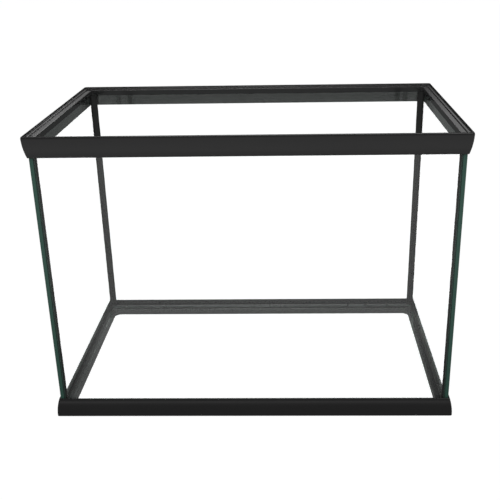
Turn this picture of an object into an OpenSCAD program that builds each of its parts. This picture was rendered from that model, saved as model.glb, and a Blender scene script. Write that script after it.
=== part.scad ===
// Glass aquarium tank: five glass panes bonded with silicone, held between two moulded frames.
// Origin: centre of the footprint on the resting plane. X runs along the length, the front is
// at -Y and Z is up. All sizes are in millimetres.

/* [Overall size] */
// Length over the frames
tank_length = 420; // [380:5:480]
// Depth over the frames
tank_depth = 260; // [220:5:320]
// Height from the resting plane to the top of the rim
tank_height = 303; // [220:1:360]

/* [Glass] */
// Thickness of the four upright panes
glass_t = 4; // [3:0.5:5]
// Thickness of the bottom pane
bottom_t = 4; // [3:0.5:5]
// Distance from the outside of the frames in to the outside of the glass
glass_inset = 4.5; // [4.2:0.1:6]
// Ground bevel along the upright edges of each pane
arris = 0.4; // [0.1:0.1:0.8]

/* [Upper frame] */
// Height of the upper frame
rim_h = 21; // [16:0.5:26]
// Thickness of the lip that stands round the top
lip_t = 1.7; // [1.2:0.1:2.2]
// Depth of the narrow step below the top of the lip
step_drop = 1.5; // [1:0.1:2.2]
// Width of the narrow step
step_w = 3.3; // [1:0.1:3.5]
// Depth of the cover ledge below the top of the lip
ledge_drop = 2.5; // [2.4:0.1:3.5]
// Thickness of plastic between the cover ledge and the top edges of the glass
roof_t = 2; // [1:0.1:3]
// Thickness of the short leg inside the glass
leg_t = 2; // [0.8:0.1:2.4]
// Height of the short leg, down from the cover ledge
leg_h = 6; // [4:0.5:9]

/* [Lower frame] */
// Height of the lower frame
base_h = 19.8; // [18:0.1:26]
// Height of the shelf that the glass stands on
shelf_z = 8; // [6:0.5:10]
// Thickness of the shelf
shelf_t = 2; // [1.2:0.1:3]
// Width of the base ring, from its outside to its central opening
base_ring_w = 15.3; // [14:0.1:20]
// Thickness of the upright walls under the shelf
base_wall_t = 2.2; // [1.5:0.1:3]
// Corner radius of the central opening
opening_r = 8; // [2:0.5:20]
// Thickness of the stiffening ribs under the shelf
rib_t = 1.4; // [1:0.1:2]
// How far the ribs stop above the resting plane
rib_recess = 0.5; // [0.2:0.1:1]
// Number of ribs under each long rail
long_ribs = 7; // [3:1:12]
// Number of ribs under each short rail
short_ribs = 4; // [2:1:8]

/* [Frame walls] */
// How far both frames curve in from their wide edge to their narrow edge
flare = 3.2; // [1.5:0.1:3.2]
// Space between the frame walls and the faces of the glass
frame_gap = 0.3; // [0.1:0.1:0.5]
// Corner radius of both frames in plan
corner_r = 2; // [1:0.5:4]

/* [Silicone] */
// Thickness of silicone between glass and glass, and between glass and frame
bond_t = 0.5; // [0.3:0.1:0.8]
// Width of the silicone on the shelf, from the outside of the glass
shelf_bond_w = 5.5; // [4.5:0.1:8.5]
// Size of the inside fillet in the two front corners
front_fillet = 3; // [2:0.5:5]
// Size of the inside fillet in the two back corners, along the side panes
back_fillet = 4; // [3:0.5:7]
// Width of the silicone spread along the back pane in the two back corners
back_spread = 7.5; // [4:0.5:10]
// Size of the inside fillet round the bottom pane
bottom_fillet = 1.5; // [1:0.5:3]

/* [Hidden] */
$fn = 48;
face_fn = 180;
fillet_steps = 12;
cut_over = 1;

glass_colour = "#9cc7b8";
silicone_colour = "#1f1f20";
frame_colour = "#2c2c2e";

// Glass: outside and inside sizes of the box that the four upright panes form
glass_x = tank_length - 2 * glass_inset;
glass_y = tank_depth - 2 * glass_inset;
inside_x = glass_x - 2 * glass_t;
inside_y = glass_y - 2 * glass_t;

// Heights, from the bottom up
shelf_under_z = shelf_z - shelf_t;
glass_z = shelf_z + bond_t;
floor_z = glass_z + bottom_t;
fillet_z = floor_z + bottom_fillet;
rim_z = tank_height - rim_h;
ledge_z = tank_height - ledge_drop;
leg_z = ledge_z - leg_h;
roof_z = ledge_z - roof_t;
glass_top_z = roof_z - bond_t;
pane_h = glass_top_z - glass_z;

// Distances in from the outside of the frames
skirt_in = glass_inset - frame_gap;
leg_out = glass_inset + glass_t + frame_gap;
leg_in = leg_out + leg_t;
channel_in = base_ring_w - base_wall_t;

// Radius of an arc that stands upright at the wide edge and curves in by flare over height h
function face_r(h) = (h * h + flare * flare) / (2 * flare);

// ---- shared shapes ----

module rounded_rect(x, y, r) {
    square([x - 2 * r, y], center = true);
    square([x, y - 2 * r], center = true);
    for (i = [-1, 1], j = [-1, 1])
        translate([i * (x / 2 - r), j * (y / 2 - r)]) circle(r);
}

// Plan of the tank, moved in by inset on all four sides
module plan(inset, r = 0) {
    x = tank_length - 2 * inset;
    y = tank_depth - 2 * inset;
    if (r > 0) rounded_rect(x, y, r);
    else square([x, y], center = true);
}

module slab(inset, z0, z1, r = 0) {
    translate([0, 0, z0]) linear_extrude(z1 - z0) plan(inset, r);
}

module ring(inset0, inset1, z0, z1) {
    translate([0, 0, z0]) linear_extrude(z1 - z0) difference() {
        plan(inset0);
        plan(inset1);
    }
}

// Outline of a frame across one direction, with both outside faces curved
module frame_outline(size, h, wide_z) {
    r = face_r(h);
    band = 2 * flare;
    translate([-size / 2 + band, 0]) square([size - 2 * band, h]);
    for (side = [-1, 1]) intersection() {
        translate([side * (size / 2 - band / 2), h / 2]) square([band, h], center = true);
        translate([side * (size / 2 - r), wide_z]) circle(r, $fn = face_fn);
    }
}

// Solid block with the curved outside of a frame, its four corners mitred and softened
module frame_block(h, wide_z) {
    intersection() {
        translate([0, tank_depth / 2, 0]) rotate([90, 0, 0])
            linear_extrude(tank_depth) frame_outline(tank_length, h, wide_z);
        translate([-tank_length / 2, 0, 0]) rotate([90, 0, 90])
            linear_extrude(tank_length) frame_outline(tank_depth, h, wide_z);
        linear_extrude(h) plan(0, corner_r);
    }
}

// Upright pane lying along X, centred, with a ground bevel along its upright edges
module pane(length) {
    x = length / 2;
    y = glass_t / 2;
    linear_extrude(pane_h) polygon([
        [-x, arris - y], [arris - x, -y], [x - arris, -y], [x, arris - y],
        [x, y - arris], [x - arris, y], [arris - x, y], [-x, y - arris]
    ]);
}

// Concave silicone fillet in the corner at the origin, reaching x along +X and y along +Y
module fillet(x, y) {
    polygon([
        [0, 0],
        for (i = [0:fillet_steps]) let (a = 90 * i / fillet_steps) [x * (1 - sin(a)), y * (1 - cos(a))]
    ]);
}

// ---- glass ----

module front_pane() {
    color(glass_colour, 0.4)
        translate([0, -(glass_y - glass_t) / 2, glass_z]) pane(inside_x - 2 * bond_t);
}

module back_pane() {
    color(glass_colour, 0.4)
        translate([0, (glass_y - glass_t) / 2, glass_z]) pane(inside_x - 2 * bond_t);
}

module left_pane() {
    color(glass_colour, 0.4)
        translate([-(glass_x - glass_t) / 2, 0, glass_z]) rotate(90) pane(glass_y);
}

module right_pane() {
    color(glass_colour, 0.4)
        translate([(glass_x - glass_t) / 2, 0, glass_z]) rotate(90) pane(glass_y);
}

module bottom_pane() {
    color(glass_colour, 0.4)
        translate([0, 0, glass_z + bottom_t / 2])
            cube([inside_x - 2 * bond_t, inside_y - 2 * bond_t, bottom_t], center = true);
}

// ---- silicone ----

// Corner joint at +X +Y: the bond between side pane and end of the other pane, and the fillet,
// which reaches side_reach along the side pane and end_reach along the other pane
module corner_seam(side_reach, end_reach) {
    color(silicone_colour) {
        translate([inside_x / 2 - bond_t, inside_y / 2, glass_z])
            cube([bond_t, glass_t, pane_h]);
        translate([inside_x / 2, inside_y / 2, fillet_z])
            linear_extrude(leg_z - fillet_z) rotate(180) fillet(end_reach, side_reach);
    }
}

module back_right_seam() {
    corner_seam(back_fillet, back_spread);
}

module back_left_seam() {
    mirror([1, 0, 0]) corner_seam(back_fillet, back_spread);
}

module front_right_seam() {
    mirror([0, 1, 0]) corner_seam(front_fillet, front_fillet);
}

module front_left_seam() {
    mirror([1, 0, 0]) mirror([0, 1, 0]) corner_seam(front_fillet, front_fillet);
}

// Section of a bottom joint in its own plane: the bond beside the pane and the fillet above it
module bottom_section() {
    translate([0, glass_z]) square([bond_t, bottom_t]);
    translate([0, floor_z]) fillet(bottom_fillet, bottom_fillet);
}

// Joint along Y against the pane at -X
module short_bottom_seam() {
    color(silicone_colour)
        translate([-inside_x / 2, inside_y / 2 - bottom_fillet, 0]) rotate([90, 0, 0])
            linear_extrude(inside_y - 2 * bottom_fillet) bottom_section();
}

// Joint along X against the pane at -Y
module long_bottom_seam() {
    color(silicone_colour)
        translate([-inside_x / 2, -inside_y / 2, 0]) rotate([90, 0, 90])
            linear_extrude(inside_x) bottom_section();
}

module front_bottom_seam() {
    long_bottom_seam();
}

module back_bottom_seam() {
    mirror([0, 1, 0]) long_bottom_seam();
}

module left_bottom_seam() {
    short_bottom_seam();
}

module right_bottom_seam() {
    mirror([1, 0, 0]) short_bottom_seam();
}

module upper_frame_bond() {
    color(silicone_colour)
        ring(glass_inset, glass_inset + glass_t, glass_top_z, roof_z);
}

module lower_frame_bond() {
    color(silicone_colour)
        ring(glass_inset, glass_inset + shelf_bond_w, shelf_z, glass_z);
}

// ---- frames ----

module upper_frame() {
    color(frame_colour) difference() {
        translate([0, 0, rim_z]) frame_block(rim_h, rim_h);
        slab(lip_t, tank_height - step_drop, tank_height + cut_over, corner_r / 2);
        slab(lip_t + step_w, ledge_z, tank_height, corner_r / 2);
        slab(leg_in, rim_z, tank_height, corner_r / 2);
        slab(skirt_in, rim_z - cut_over, leg_z);
        ring(skirt_in, leg_out, rim_z, roof_z);
    }
}

// Hollow under the shelf, between its outside and inside walls
module underside_hollow() {
    translate([0, 0, -cut_over]) linear_extrude(shelf_under_z + cut_over) difference() {
        plan(base_wall_t);
        plan(channel_in, opening_r + base_wall_t);
    }
}

// One rib with its middle at x, y
module rib(x, y, size_x, size_y) {
    translate([x - size_x / 2, y - size_y / 2, rib_recess])
        cube([size_x, size_y, shelf_under_z - rib_recess]);
}

// Ribs that cross the hollow under the shelf, on all four rails
module ribs() {
    rail_x = (tank_length - channel_in) / 2;
    rail_y = (tank_depth - channel_in) / 2;
    for (side = [-1, 1]) {
        for (i = [1:long_ribs])
            rib((i / (long_ribs + 1) - 0.5) * tank_length, side * rail_y, rib_t, channel_in);
        for (i = [1:short_ribs])
            rib(side * rail_x, (i / (short_ribs + 1) - 0.5) * tank_depth, channel_in, rib_t);
    }
}

module lower_frame() {
    color(frame_colour) difference() {
        frame_block(base_h, 0);
        slab(skirt_in, shelf_z, base_h + cut_over);
        slab(base_ring_w, -cut_over, base_h, opening_r);
        difference() {
            underside_hollow();
            ribs();
        }
    }
}

front_pane();
back_pane();
left_pane();
right_pane();
bottom_pane();
front_left_seam();
front_right_seam();
back_left_seam();
back_right_seam();
front_bottom_seam();
back_bottom_seam();
left_bottom_seam();
right_bottom_seam();
upper_frame();
lower_frame();
upper_frame_bond();
lower_frame_bond();
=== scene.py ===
"""Looks for a glass aquarium tank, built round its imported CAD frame. All lengths are in metres.

The front of the tank faces -Y. An inset is a distance in from the outside of the two frames.
"""
import math

import bmesh
import bpy
from mathutils import Matrix, Vector, noise


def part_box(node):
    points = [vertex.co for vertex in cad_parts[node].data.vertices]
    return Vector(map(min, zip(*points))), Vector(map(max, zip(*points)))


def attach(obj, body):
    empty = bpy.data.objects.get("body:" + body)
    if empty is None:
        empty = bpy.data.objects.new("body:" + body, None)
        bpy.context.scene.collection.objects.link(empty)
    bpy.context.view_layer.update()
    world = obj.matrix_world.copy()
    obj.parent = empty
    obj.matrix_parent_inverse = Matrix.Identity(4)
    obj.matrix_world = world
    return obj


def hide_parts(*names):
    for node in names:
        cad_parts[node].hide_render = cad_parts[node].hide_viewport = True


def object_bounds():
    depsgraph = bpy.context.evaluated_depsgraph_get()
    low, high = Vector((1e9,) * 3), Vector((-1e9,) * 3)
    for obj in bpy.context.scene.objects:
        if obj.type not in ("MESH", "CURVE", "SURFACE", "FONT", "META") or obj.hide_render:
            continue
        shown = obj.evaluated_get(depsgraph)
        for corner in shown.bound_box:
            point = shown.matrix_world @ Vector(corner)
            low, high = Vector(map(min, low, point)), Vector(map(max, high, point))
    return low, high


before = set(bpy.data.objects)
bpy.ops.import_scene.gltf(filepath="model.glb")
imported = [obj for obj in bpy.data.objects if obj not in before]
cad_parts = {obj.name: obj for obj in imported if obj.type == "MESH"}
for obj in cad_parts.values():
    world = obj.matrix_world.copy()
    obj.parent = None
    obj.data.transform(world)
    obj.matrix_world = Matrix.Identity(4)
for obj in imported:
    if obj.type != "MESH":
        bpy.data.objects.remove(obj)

MM = 0.001
cad_lo, cad_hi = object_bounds()
HALF_X = (cad_hi.x - cad_lo.x) / 2
HALF_Y = (cad_hi.y - cad_lo.y) / 2

# Places that come from the frame
RIM_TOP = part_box("upper_frame")[1].z
RIM_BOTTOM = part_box("upper_frame")[0].z
BASE_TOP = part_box("lower_frame")[1].z
GLASS_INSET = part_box("left_pane")[0].x - cad_lo.x
GLASS_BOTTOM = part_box("left_pane")[0].z
GLASS_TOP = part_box("left_pane")[1].z
GLASS_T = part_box("left_pane")[1].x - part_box("left_pane")[0].x
FLOOR_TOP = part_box("bottom_pane")[1].z
INSIDE_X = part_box("right_pane")[0].x
INSIDE_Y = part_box("back_pane")[0].y
BOND_T = INSIDE_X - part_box("front_pane")[1].x
SHELF_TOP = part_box("lower_frame_bond")[0].z
CHANNEL_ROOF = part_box("upper_frame_bond")[1].z
LEG_BOTTOM = RIM_TOP - 8.5 * MM

# Frame sections, which both mouldings share
FLARE = 3.2 * MM
SKIRT_INSET = GLASS_INSET - 0.3 * MM
OUTER_CORNER_R = 2 * MM
INNER_CORNER_R = 1 * MM
EDGE_R = 0.3 * MM
SHARP_ANGLE = math.radians(40)

GLASS_IOR = 1.52

# Silicone sinks this far into the glass and the frames, so that it looks wetted on to them
WETTING = 0.03 * MM

# How far the corner silicone reaches along the end pane and along the side pane
FRONT_FILLET = (3 * MM, 3 * MM)
BACK_FILLET = (7.5 * MM, 4 * MM)
SHELF_BOND_INSET = 9.7 * MM


# ---- mesh helpers ----

def new_piece(name, rows, closed, node, materials):
    """A piece skinned over rows of points. It stands for a CAD node and rides on the one body."""
    bm = bmesh.new()
    grid = [[bm.verts.new(point) for point in row] for row in rows]
    last = len(grid) if closed else len(grid) - 1
    for i in range(last):
        here, there = grid[i], grid[(i + 1) % len(grid)]
        for j in range(len(here)):
            k = (j + 1) % len(here)
            bm.faces.new((here[j], here[k], there[k], there[j]))
    if not closed:
        bm.faces.new(grid[0])
        bm.faces.new(grid[-1])
    bmesh.ops.recalc_face_normals(bm, faces=bm.faces)
    return finish_piece(name, bm, node, materials)


def finish_piece(name, bm, node, materials):
    """Turns a bmesh into a smooth-shaded piece in place of its CAD node."""
    mesh = bpy.data.meshes.new(name)
    bm.to_mesh(mesh)
    bm.free()
    for material in materials:
        mesh.materials.append(material)
    piece = bpy.data.objects.new(name, mesh)
    bpy.context.scene.collection.objects.link(piece)
    mesh.shade_smooth()
    mesh.set_sharp_from_angle(angle=SHARP_ANGLE)
    weighted = piece.modifiers.new("flat_faces_stay_flat", "WEIGHTED_NORMAL")
    weighted.keep_sharp = True
    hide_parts(node)
    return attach(piece, "root")


def arc(centre, radius, start, end, steps):
    """Points of an arc, with angles in radians."""
    turn = (end - start) / steps
    return [
        centre + radius * Vector((math.cos(start + i * turn), math.sin(start + i * turn)))
        for i in range(steps + 1)
    ]


def round_corner(before, corner, after, radius, steps=3):
    """The arc that takes the place of one corner of a section."""
    back, ahead = (before - corner).normalized(), (after - corner).normalized()
    half = back.angle(ahead) / 2
    centre = corner + (back + ahead).normalized() * (radius / math.sin(half))
    start = corner + back * (radius / math.tan(half)) - centre
    end = corner + ahead * (radius / math.tan(half)) - centre
    sweep = math.atan2(start.cross(end), start.dot(end))
    first = math.atan2(start.y, start.x)
    return arc(centre, radius, first, first + sweep, steps)


def round_section(corners):
    """Closed section from corners (inset, height, edge radius, corner radius in plan), edges rounded."""
    points = []
    for i, (inset, height, edge_r, plan_r) in enumerate(corners):
        here = Vector((inset, height))
        if edge_r == 0:
            points.append((here, plan_r))
            continue
        before = Vector(corners[i - 1][:2])
        after = Vector(corners[(i + 1) % len(corners)][:2])
        points += [(p, plan_r) for p in round_corner(before, here, after, edge_r)]
    return points


def plan_ring(inset, height, plan_r, rail_steps=1, wobble=0.0, seed=0.0):
    """Rounded rectangle of points round the tank at one inset. The rails may wobble in and out."""
    corner_steps, wobbles_per_metre = 6, 60
    ring = []
    for start, (sx, sy) in enumerate(((1, -1), (1, 1), (-1, 1), (-1, -1))):
        centre = Vector((sx * (HALF_X - inset - plan_r), sy * (HALF_Y - inset - plan_r)))
        first = math.radians(90 * start - 90)
        ring += arc(centre, plan_r, first, first + math.pi / 2, corner_steps)
        along_y = sx == sy
        rail = Vector((0, 2 * centre.y)) if not along_y else Vector((2 * centre.x, 0))
        corner_end = ring[-1]
        for i in range(1, rail_steps):
            ring.append(corner_end - rail * (i / rail_steps))
    points = []
    for p in ring:
        shift = wobble * noise.noise(Vector((p.x, p.y, seed)) * wobbles_per_metre)
        points.append(Vector((p.x * (1 - shift / HALF_X), p.y * (1 - shift / HALF_Y), height)))
    return points


def outside_face(wide_z, narrow_z, steps=8):
    """Corners down the curved outside of a frame, upright at its wide edge, without its two ends."""
    height = abs(narrow_z - wide_z)
    radius = (height ** 2 + FLARE ** 2) / (2 * FLARE)
    corners = []
    for i in range(1, steps):
        share = i / steps
        inset = radius - math.sqrt(radius ** 2 - (share * height) ** 2)
        plan_r = OUTER_CORNER_R + (INNER_CORNER_R - OUTER_CORNER_R) * share
        corners.append((inset, wide_z + share * (narrow_z - wide_z), 0, plan_r))
    return corners


# ---- materials ----

class Nodes:
    """The node tree of a material or a world, with short ways to add and join nodes."""

    def __init__(self, owner):
        owner.use_nodes = True
        self.owner = owner
        self.tree = owner.node_tree
        self.shader = self.tree.nodes.get("Principled BSDF")
        self.output = self.tree.nodes.get("Material Output")

    def add(self, kind, **values):
        """Adds a node. Values name its inputs, with _ for a space, or its own properties."""
        node = self.tree.nodes.new("ShaderNode" + kind)
        for key, value in values.items():
            if hasattr(node, key):
                setattr(node, key, value)
            else:
                node.inputs[key.replace("_", " ")].default_value = value
        return node

    def join(self, source, target):
        self.tree.links.new(source, target)

    def set(self, **values):
        for key, value in values.items():
            self.shader.inputs[key.replace("_", " ")].default_value = value

    def noise_at(self, scale, detail=4.0, stretch=(1, 1, 1)):
        """Noise in object space. A small stretch draws the pattern out along that axis."""
        place = self.add("TexCoord")
        mapping = self.add("Mapping")
        mapping.inputs["Scale"].default_value = stretch
        texture = self.add("TexNoise", Scale=scale, Detail=detail)
        self.join(place.outputs["Object"], mapping.inputs["Vector"])
        self.join(mapping.outputs["Vector"], texture.inputs["Vector"])
        return texture.outputs["Fac"]

    def ramp(self, source, low, high, from_low=0.0, from_high=1.0):
        """Maps a value to a range."""
        node = self.add("MapRange")
        node.inputs["From Min"].default_value = from_low
        node.inputs["From Max"].default_value = from_high
        node.inputs["To Min"].default_value = low
        node.inputs["To Max"].default_value = high
        self.join(source, node.inputs["Value"])
        return node.outputs["Result"]

    def blend(self, factor, first, second):
        """Mixes two colours, each a plain colour or a socket."""
        node = self.add("Mix", data_type="RGBA")
        for socket, colour in ((node.inputs[6], first), (node.inputs[7], second)):
            if isinstance(colour, tuple):
                socket.default_value = (*colour, 1)
            else:
                self.join(colour, socket)
        self.join(factor, node.inputs[0])
        return node.outputs[2]

    def bump(self, height, strength, distance, under=None):
        node = self.add("Bump", Strength=strength, Distance=distance)
        self.join(height, node.inputs["Height"])
        if under is not None:
            self.join(under, node.inputs["Normal"])
        self.join(node.outputs["Normal"], self.shader.inputs["Normal"])
        return node.outputs["Normal"]

    def mirror_share(self):
        """1 for what a mirror shows or what lights a surface, 0 for what the camera sees directly."""
        path = self.add("LightPath")
        depth = self.add("Math", operation="ADD", use_clamp=True)
        self.join(path.outputs["Glossy Depth"], depth.inputs[0])
        self.join(path.outputs["Diffuse Depth"], depth.inputs[1])
        return depth.outputs[0]

    def unless_mirrored(self, seen, mirrored):
        """A plain value for what the camera sees, and a socket's value for mirrors and for lighting."""
        node = self.add("Mix")
        node.inputs[2].default_value = seen
        self.join(self.mirror_share(), node.inputs[0])
        self.join(mirrored, node.inputs[3])
        return node.outputs[0]


def new_material(name):
    return Nodes(bpy.data.materials.new(name))


def frame_plastic():
    """Satin black moulded plastic: fine spark-eroded grain, faint flow marks and a few dull patches."""
    n = new_material("frame_plastic")
    patches = n.noise_at(14, 3)
    flow = n.noise_at(90, 4, (0.15, 1, 1))
    grain = n.noise_at(2600, 2)
    base = n.blend(patches, (0.0064, 0.0064, 0.0067), (0.0096, 0.0094, 0.0096))
    n.join(n.blend(n.ramp(flow, 0, 0.5), base, (0.0120, 0.0117, 0.0117)), n.shader.inputs["Base Color"])
    n.join(n.ramp(patches, 0.09, 0.14, 0.3, 0.7), n.shader.inputs["Roughness"])
    n.set(Specular_IOR_Level=0.5)
    soft = n.bump(flow, 0.01, 0.4 * MM)
    n.bump(grain, 0.06, 0.05 * MM, soft)
    return n.owner


def silicone():
    """Cured black silicone: smooth and a little glossy, with tooling ripples."""
    n = new_material("black_silicone")
    ripples = n.noise_at(140, 1, (1, 1, 0.3))
    dust = n.noise_at(900, 3)
    n.join(n.blend(dust, (0.006, 0.006, 0.006), (0.012, 0.012, 0.0115)), n.shader.inputs["Base Color"])
    n.join(n.ramp(ripples, 0.26, 0.36, 0.3, 0.7), n.shader.inputs["Roughness"])
    n.set(Specular_IOR_Level=0.4)
    n.bump(ripples, 0.12, 0.3 * MM)
    return n.owner


def clear_glass():
    """Float glass with slight rolling waves.

    What is behind it keeps its brightness, mirror images are laid over it, and lamps shine through.
    """
    n = new_material("clear_glass")
    n.tree.nodes.remove(n.shader)
    waves = n.noise_at(9, 1)
    haze = n.noise_at(40, 5)
    wavy = n.add("Bump", Strength=0.02, Distance=0.2 * MM)
    n.join(waves, wavy.inputs["Height"])
    bend = n.add("BsdfRefraction", IOR=GLASS_IOR, Roughness=0.0)
    n.join(n.blend(haze, (0.994, 0.999, 0.997), (0.997, 1.0, 0.998)), bend.inputs["Color"])
    strength = n.add("Fresnel", IOR=GLASS_IOR)
    mirror = n.add("BsdfAnisotropic", Roughness=0.0)
    n.join(strength.outputs[0], mirror.inputs["Color"])
    for node in (bend, strength, mirror):
        n.join(wavy.outputs["Normal"], node.inputs["Normal"])
    both = n.add("AddShader")
    n.join(bend.outputs[0], both.inputs[0])
    n.join(mirror.outputs[0], both.inputs[1])
    path = n.add("LightPath")
    straight = n.add("BsdfTransparent", Color=(0.96, 0.98, 0.97, 1))
    either = n.add("Math", operation="MAXIMUM")
    mix = n.add("MixShader")
    n.join(path.outputs["Is Shadow Ray"], either.inputs[0])
    n.join(n.mirror_share(), either.inputs[1])
    n.join(either.outputs[0], mix.inputs[0])
    n.join(both.outputs[0], mix.inputs[1])
    n.join(straight.outputs[0], mix.inputs[2])
    n.join(mix.outputs[0], n.output.inputs["Surface"])
    return n.owner


def ground_edge():
    """Ground and polished glass edge: deep green, lighter in mid-thickness, with streaks along it."""
    n = new_material("ground_glass_edge")
    across = n.add("Attribute", attribute_name="across").outputs["Fac"]
    streaks = n.noise_at(900, 2, (1, 1, 0.02))
    pits = n.noise_at(3000, 2)
    light = n.blend(streaks, (0.050, 0.120, 0.094), (0.075, 0.165, 0.130))
    deep = n.blend(streaks, (0.024, 0.074, 0.055), (0.039, 0.102, 0.077))
    n.join(n.blend(n.ramp(across, 0, 1, 0.0, 0.8), light, deep), n.shader.inputs["Base Color"])
    n.join(n.ramp(pits, 0.22, 0.40, 0.3, 0.7), n.shader.inputs["Roughness"])
    n.set(Specular_IOR_Level=0.4)
    n.bump(pits, 0.08, 0.05 * MM)
    return n.owner


PLASTIC = frame_plastic()
SILICONE = silicone()
GLASS = clear_glass()
EDGE = ground_edge()


# ---- glass panes ----

def pane(node, name):
    """One pane with ground edges. Its two large faces are clear and all its narrow faces are green."""
    arris, facing = 0.4 * MM, 0.99
    lo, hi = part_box(node)
    size, middle = hi - lo, (lo + hi) / 2
    thin = min(range(3), key=lambda axis: size[axis])
    bm = bmesh.new()
    bmesh.ops.create_cube(bm, size=1, matrix=Matrix.Translation(middle) @ Matrix.Diagonal((*size, 1)))
    bmesh.ops.bevel(bm, geom=bm.edges[:], offset=arris, segments=2, profile=0.5, affect="EDGES")
    bm.normal_update()
    for face in bm.faces:
        face.material_index = 0 if abs(face.normal[thin]) > facing else 1
    across = bm.verts.layers.float.new("across")
    for vert in bm.verts:
        vert[across] = abs(vert.co[thin] - middle[thin]) / (size[thin] / 2)
    return finish_piece(name, bm, node, [GLASS, EDGE])


# ---- silicone ----

def fillet_section(end_reach, side_reach, feather):
    """Concave fillet and bond in one outline. u runs in from the side pane, v in from the end pane."""
    bond, recess, steps = BOND_T + WETTING, 0.1 * MM, 8
    outline = [
        (-WETTING, recess - GLASS_T), (BOND_T / 2, 2 * recess - GLASS_T), (bond, recess - GLASS_T),
        (bond, -WETTING), (end_reach, -WETTING),
    ]
    for p in arc(Vector((1, 1)), 1, -math.pi / 2, -math.pi, steps):
        outline.append((max(p.x * end_reach, feather), max(p.y * side_reach, feather)))
    return outline + [(-WETTING, side_reach)]


def corner_seam(node, name, end_reach, side_reach, sx, sy):
    """Silicone in one upright corner: a bond beside the pane's end and a fillet with a fuller foot."""
    foot, foot_fade, feather, step = 1.6 * MM, 2.2 * MM, 0.12 * MM, 3 * MM
    wobble, wobbles_per_metre, rise = 0.18 * MM, 55, 0.2 * MM
    box_low, box_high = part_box(node)
    top = LEG_BOTTOM
    low = FLOOR_TOP + rise
    count = round((top - low) / step)
    no_fillet = fillet_section(BOND_T + 2 * WETTING, feather, feather)
    rows = [(box_low.z, no_fillet), (low - WETTING, no_fillet)]
    for i in range(count + 1):
        z = low + (top - low) * i / count
        waver = wobble * noise.noise(Vector((sx * 3, sy * 5, z * wobbles_per_metre)))
        spread = waver + foot * math.exp(-(z - low) / foot_fade)
        rows.append((z, fillet_section(end_reach + spread, side_reach + spread, feather)))
    rows += [(top + WETTING, no_fillet), (box_high.z, no_fillet)]
    skin = [[Vector((sx * (INSIDE_X - u), sy * (INSIDE_Y - v), z)) for u, v in row] for z, row in rows]
    return new_piece(name, skin, False, node, [SILICONE])


def bottom_seam(node, name, along_x, side):
    """Silicone along one side of the bottom pane: a bond beside it and a small fillet above it."""
    size, feather, step = 1.5 * MM, 0.1 * MM, 4 * MM
    wobble, wobbles_per_metre, arc_steps = 0.06 * MM, 60, 6
    length = (INSIDE_X if along_x else INSIDE_Y) - (0 if along_x else size)
    count = round(2 * length / step)
    rows = []
    for i in range(count + 1):
        s = -length + 2 * length * i / count
        place = Vector((s * wobbles_per_metre, side * 4, 7 if along_x else 2))
        reach = size + wobble * noise.noise(place)
        hollow = arc(Vector((reach, reach)), reach - feather, -math.pi / 2, -math.pi, arc_steps)
        outline = [(-WETTING, GLASS_BOTTOM), (BOND_T + WETTING, GLASS_BOTTOM)]
        outline += [(BOND_T + WETTING, FLOOR_TOP - WETTING), (reach, FLOOR_TOP - WETTING)]
        outline += [(p.x, FLOOR_TOP + p.y) for p in hollow] + [(-WETTING, FLOOR_TOP + reach)]
        if along_x:
            rows.append([Vector((s, side * (INSIDE_Y - u), z)) for u, z in outline])
        else:
            rows.append([Vector((side * (INSIDE_X - u), s, z)) for u, z in outline])
    return new_piece(name, rows, False, node, [SILICONE])


def frame_bond(node, name, outer, inner, low, high, wobble):
    """Silicone between a frame and the glass, squeezed out unevenly along its inner side."""
    rails = 24
    rows = [
        plan_ring(outer, low, INNER_CORNER_R, rails),
        plan_ring(outer, high, INNER_CORNER_R, rails),
        plan_ring(inner, high, INNER_CORNER_R, rails, wobble, 1),
        plan_ring(inner + (high - low) / 3, (low + high) / 2, INNER_CORNER_R, rails, wobble, 1),
        plan_ring(inner, low, INNER_CORNER_R, rails, wobble, 1),
    ]
    return new_piece(name, rows, True, node, [SILICONE])


# ---- frames ----

def crown(width, slope, depth, steps=8):
    """Corners of the lip's outer edge: a gently sloping top that rounds over to the outside.

    The corners lie closest together near the top.
    """
    crowding = 1.6
    corners = []
    for i in range(1, steps + 1):
        turn = math.pi / 2 * (i / steps) ** crowding
        drop = slope + (depth - slope) * (1 - math.cos(turn))
        corners.append((width * (1 - math.sin(turn)), RIM_TOP - drop, 0, OUTER_CORNER_R))
    return corners


def upper_frame():
    """Upper frame: a lip, a narrow step, the cover ledge and a short leg inside the glass."""
    lip, step, ledge, leg = 1.7 * MM, 5 * MM, 10.8 * MM, 8.8 * MM
    step_z, ledge_z, leg_z = RIM_TOP - 1.5 * MM, RIM_TOP - 2.5 * MM, LEG_BOTTOM
    r = INNER_CORNER_R
    corners = crown(width=0.6 * MM, slope=0.3 * MM, depth=2.6 * MM) + outside_face(RIM_TOP, RIM_BOTTOM)
    corners += [
        (FLARE, RIM_BOTTOM, EDGE_R, r), (SKIRT_INSET, RIM_BOTTOM, EDGE_R, r),
        (SKIRT_INSET, CHANNEL_ROOF, 0, r), (leg, CHANNEL_ROOF, 0, r),
        (leg, leg_z, EDGE_R, r), (ledge, leg_z, EDGE_R, r),
        (ledge, ledge_z, EDGE_R, r), (step, ledge_z, 0.15 * MM, r),
        (step, step_z, 0.2 * MM, r), (lip, step_z, 0.15 * MM, r), (lip, RIM_TOP, 0.1 * MM, r),
    ]
    rows = [plan_ring(p.x, p.y, plan_r) for p, plan_r in round_section(corners)]
    return new_piece("upper_moulding", rows, True, "upper_frame", [PLASTIC])


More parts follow.
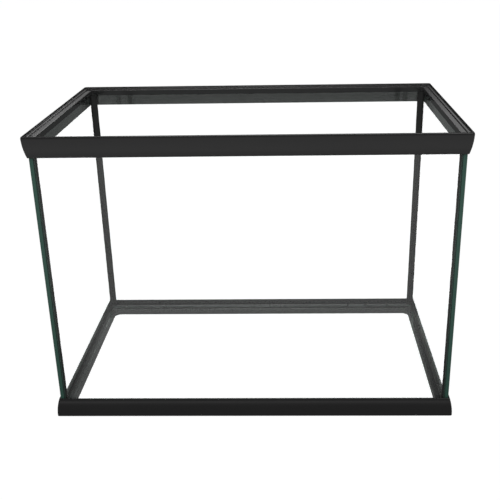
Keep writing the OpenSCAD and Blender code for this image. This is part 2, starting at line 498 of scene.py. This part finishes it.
def ribs(wall, channel, under):
    """Stiffening ribs that cross the hollow underside. They sink a little into the walls and the shelf."""
    thick, recess, sink = 1.4 * MM, 0.5 * MM, 0.4 * MM
    long_count, short_count = 7, 4
    span = channel - wall + 2 * sink
    height = under + sink - recess
    middle = (wall + channel) / 2
    bm = bmesh.new()
    for side in (-1, 1):
        for i in range(1, long_count + 1):
            along = (i / (long_count + 1) - 0.5) * 2 * HALF_X
            place = Vector((along, side * (HALF_Y - middle), recess + height / 2))
            shape = Matrix.Diagonal((thick, span, height, 1))
            bmesh.ops.create_cube(bm, size=1, matrix=Matrix.Translation(place) @ shape)
        for i in range(1, short_count + 1):
            along = (i / (short_count + 1) - 0.5) * 2 * HALF_Y
            place = Vector((side * (HALF_X - middle), along, recess + height / 2))
            shape = Matrix.Diagonal((span, thick, height, 1))
            bmesh.ops.create_cube(bm, size=1, matrix=Matrix.Translation(place) @ shape)
    mesh = bpy.data.meshes.new("ribs")
    bm.to_mesh(mesh)
    bm.free()
    return mesh


def weld(piece, mesh):
    """Joins a loose mesh to a piece, so that the two are one closed skin."""
    loose = bpy.data.objects.new("loose", mesh)
    bpy.context.scene.collection.objects.link(loose)
    union = piece.modifiers.new("weld", "BOOLEAN")
    union.operation, union.solver, union.object = "UNION", "EXACT", loose
    piece.modifiers.move(len(piece.modifiers) - 1, 0)
    with bpy.context.temp_override(object=piece, active_object=piece):
        bpy.ops.object.modifier_apply(modifier=union.name)
    bpy.data.objects.remove(loose)
    piece.data.shade_smooth()
    piece.data.set_sharp_from_angle(angle=SHARP_ANGLE)


def lower_frame():
    """Lower frame: a curved outside wall, a shelf under the glass and a hollow, ribbed underside."""
    ring, wall, shelf_t, opening_r = 15.3 * MM, 2.2 * MM, 2 * MM, 8 * MM
    channel = ring - wall
    channel_r = opening_r + wall
    under = SHELF_TOP - shelf_t
    r = INNER_CORNER_R
    corners = [(0, 0, 0.3 * MM, OUTER_CORNER_R)] + outside_face(0, BASE_TOP)
    corners += [
        (FLARE, BASE_TOP, 0.2 * MM, r), (SKIRT_INSET, BASE_TOP, EDGE_R, r),
        (SKIRT_INSET, SHELF_TOP, EDGE_R, r), (ring, SHELF_TOP, 0.5 * MM, opening_r),
        (ring, 0, 0.5 * MM, opening_r), (channel, 0, EDGE_R, channel_r),
        (channel, under, EDGE_R, channel_r), (wall, under, EDGE_R, r), (wall, 0, EDGE_R, r),
    ]
    rows = [plan_ring(p.x, p.y, plan_r) for p, plan_r in round_section(corners)]
    piece = new_piece("lower_moulding", rows, True, "lower_frame", [PLASTIC])
    weld(piece, ribs(wall, channel, under))
    return piece


# ---- stage ----

# How bright the floor and the room look in mirror reflections, where the camera sees white.
# The floor is lit in front of the tank, dims further away, and is in shade close to it,
# under it and behind it.
FLOOR_NEAR = 0.58
FLOOR_FAR = 0.42
FLOOR_BESIDE = 0.17
FLOOR_SHADED = 0.07
ROOM_IN_FRONT = 0.16
ROOM_BEHIND = 0.015


def make_floor():
    """Plain white floor, self-lit so that shadows on it stay faint, and clear when seen from below."""
    half_width, drop = 30, 0.05 * MM
    bm = bmesh.new()
    bmesh.ops.create_grid(bm, x_segments=1, y_segments=1, size=half_width)
    mesh = bpy.data.meshes.new("floor")
    bm.to_mesh(mesh)
    bm.free()
    floor = bpy.data.objects.new("floor", mesh)
    floor.location.z = -drop
    bpy.context.scene.collection.objects.link(floor)
    n = new_material("pale_floor")
    n.set(Base_Color=(0.02, 0.02, 0.02, 1), Roughness=0.9, Specular_IOR_Level=0.0)
    n.set(Emission_Color=(1, 1, 1, 1))
    place = n.add("SeparateXYZ")
    n.join(n.add("TexCoord").outputs["Object"], place.inputs[0])
    y = place.outputs["Y"]
    lit = n.add("Math", operation="MINIMUM")
    n.join(n.ramp(y, FLOOR_FAR, FLOOR_NEAR, -1.5, -0.5), lit.inputs[0])
    n.join(n.ramp(y, FLOOR_NEAR, FLOOR_BESIDE, -0.5, -0.2), lit.inputs[1])
    shade = n.ramp(y, 1, FLOOR_SHADED / FLOOR_BESIDE, -HALF_Y, -HALF_Y / 2)
    mirrored = n.add("Math", operation="MULTIPLY")
    n.join(lit.outputs[0], mirrored.inputs[0])
    n.join(shade, mirrored.inputs[1])
    n.join(n.unless_mirrored(1.0, mirrored.outputs[0]), n.shader.inputs["Emission Strength"])
    from_below = n.add("MixShader")
    n.join(n.add("NewGeometry").outputs["Backfacing"], from_below.inputs[0])
    n.join(n.shader.outputs[0], from_below.inputs[1])
    n.join(n.add("BsdfTransparent").outputs[0], from_below.inputs[2])
    n.join(from_below.outputs[0], n.output.inputs["Surface"])
    mesh.materials.append(n.owner)


def make_world():
    """White surround for the camera. Mirrors and lighting see a room that is dark behind the tank."""
    world = bpy.data.worlds.new("studio")
    n = Nodes(world)
    background = n.tree.nodes["Background"]
    background.inputs["Color"].default_value = (1, 1, 1, 1)
    way = n.add("SeparateXYZ")
    n.join(n.add("TexCoord").outputs["Generated"], way.inputs[0])
    room = n.ramp(way.outputs["Y"], ROOM_IN_FRONT, ROOM_BEHIND, -0.3, 0.3)
    n.join(n.unless_mirrored(1.0, room), background.inputs["Strength"])
    bpy.context.scene.world = world


def soft_light(name, place, target, width, height, radiance):
    """Soft box that points at a target."""
    data = bpy.data.lights.new(name, "AREA")
    data.shape = "RECTANGLE"
    data.size = width
    data.size_y = height
    data.energy = radiance * math.pi * width * height
    light = bpy.data.objects.new(name, data)
    light.location = place
    light.rotation_mode = "QUATERNION"
    light.rotation_quaternion = (Vector(target) - Vector(place)).to_track_quat("-Z", "Y")
    light.visible_camera = False
    light.visible_transmission = False
    bpy.context.scene.collection.objects.link(light)


def make_camera():
    """Camera in front of the tank and above its rim, a little to the right, looking down."""
    place = Vector((0.0413, -0.8667, 0.4771))
    pitch, yaw, roll = math.radians(22.804), math.radians(-1.586), math.radians(0.950)
    look = Vector((math.sin(yaw) * math.cos(pitch), math.cos(yaw) * math.cos(pitch), -math.sin(pitch)))
    level = Vector((math.cos(yaw), -math.sin(yaw), 0))
    down = look.cross(level)
    right = math.cos(roll) * level + math.sin(roll) * down
    up = math.sin(roll) * level - math.cos(roll) * down
    data = bpy.data.cameras.new("camera")
    data.sensor_width = 36
    data.lens = 58.55
    data.shift_x = -0.0417
    data.shift_y = 0.0419
    camera = bpy.data.objects.new("camera", data)
    camera.matrix_world = Matrix.Translation(place) @ Matrix((right, up, -look)).transposed().to_4x4()
    bpy.context.scene.collection.objects.link(camera)
    bpy.context.scene.camera = camera


def clear_light_paths():
    """Enough bounces for light to cross all five panes, and colours as they are."""
    scene = bpy.context.scene
    scene.cycles.max_bounces = 32
    scene.cycles.transmission_bounces = 24
    scene.cycles.transparent_max_bounces = 32
    scene.cycles.glossy_bounces = 12
    scene.cycles.caustics_reflective = False
    scene.cycles.caustics_refractive = False
    scene.view_settings.view_transform = "Standard"


# ---- the tank ----

for side in ("front", "back", "left", "right", "bottom"):
    pane(side + "_pane", side + "_glass")
for end, sy, fillet in (("front", -1, FRONT_FILLET), ("back", 1, BACK_FILLET)):
    for side, sx in (("left", -1), ("right", 1)):
        corner_seam(f"{end}_{side}_seam", f"{end}_{side}_silicone", *fillet, sx, sy)
    bottom_seam(f"{end}_bottom_seam", f"{end}_bottom_silicone", True, sy)
for side, sx in (("left", -1), ("right", 1)):
    bottom_seam(f"{side}_bottom_seam", f"{side}_bottom_silicone", False, sx)
frame_bond(
    "upper_frame_bond", "upper_frame_silicone", GLASS_INSET, GLASS_INSET + GLASS_T,
    GLASS_TOP - WETTING, CHANNEL_ROOF + WETTING, 0.1 * MM,
)
frame_bond(
    "lower_frame_bond", "lower_frame_silicone", GLASS_INSET, SHELF_BOND_INSET,
    SHELF_TOP - WETTING, GLASS_BOTTOM + WETTING, 0.3 * MM,
)
upper_frame()
lower_frame()

make_floor()
make_world()
RIM = (0, 0, 0.3)
soft_light("left_back_softbox", (-4.4, 8.7, 2.45), RIM, 4.6, 0.9, 0.41)
soft_light("right_back_softbox", (1.6, 8.7, 2.45), RIM, 1.15, 0.9, 0.46)
soft_light("back_strip", (-0.9, 7.5, 3.1), RIM, 4.4, 0.42, 4.0)
soft_light("high_back_softbox", (-1.1, 6.3, 4.3), RIM, 5.1, 3.4, 0.22)
soft_light("overhead_softbox", (-0.2, 0.1, 2.0), RIM, 1.1, 0.9, 6.0)
soft_light("front_softbox", (0.2, -1.7, 2.75), RIM, 2.0, 2.0, 5.0)
make_camera()
clear_light_paths()
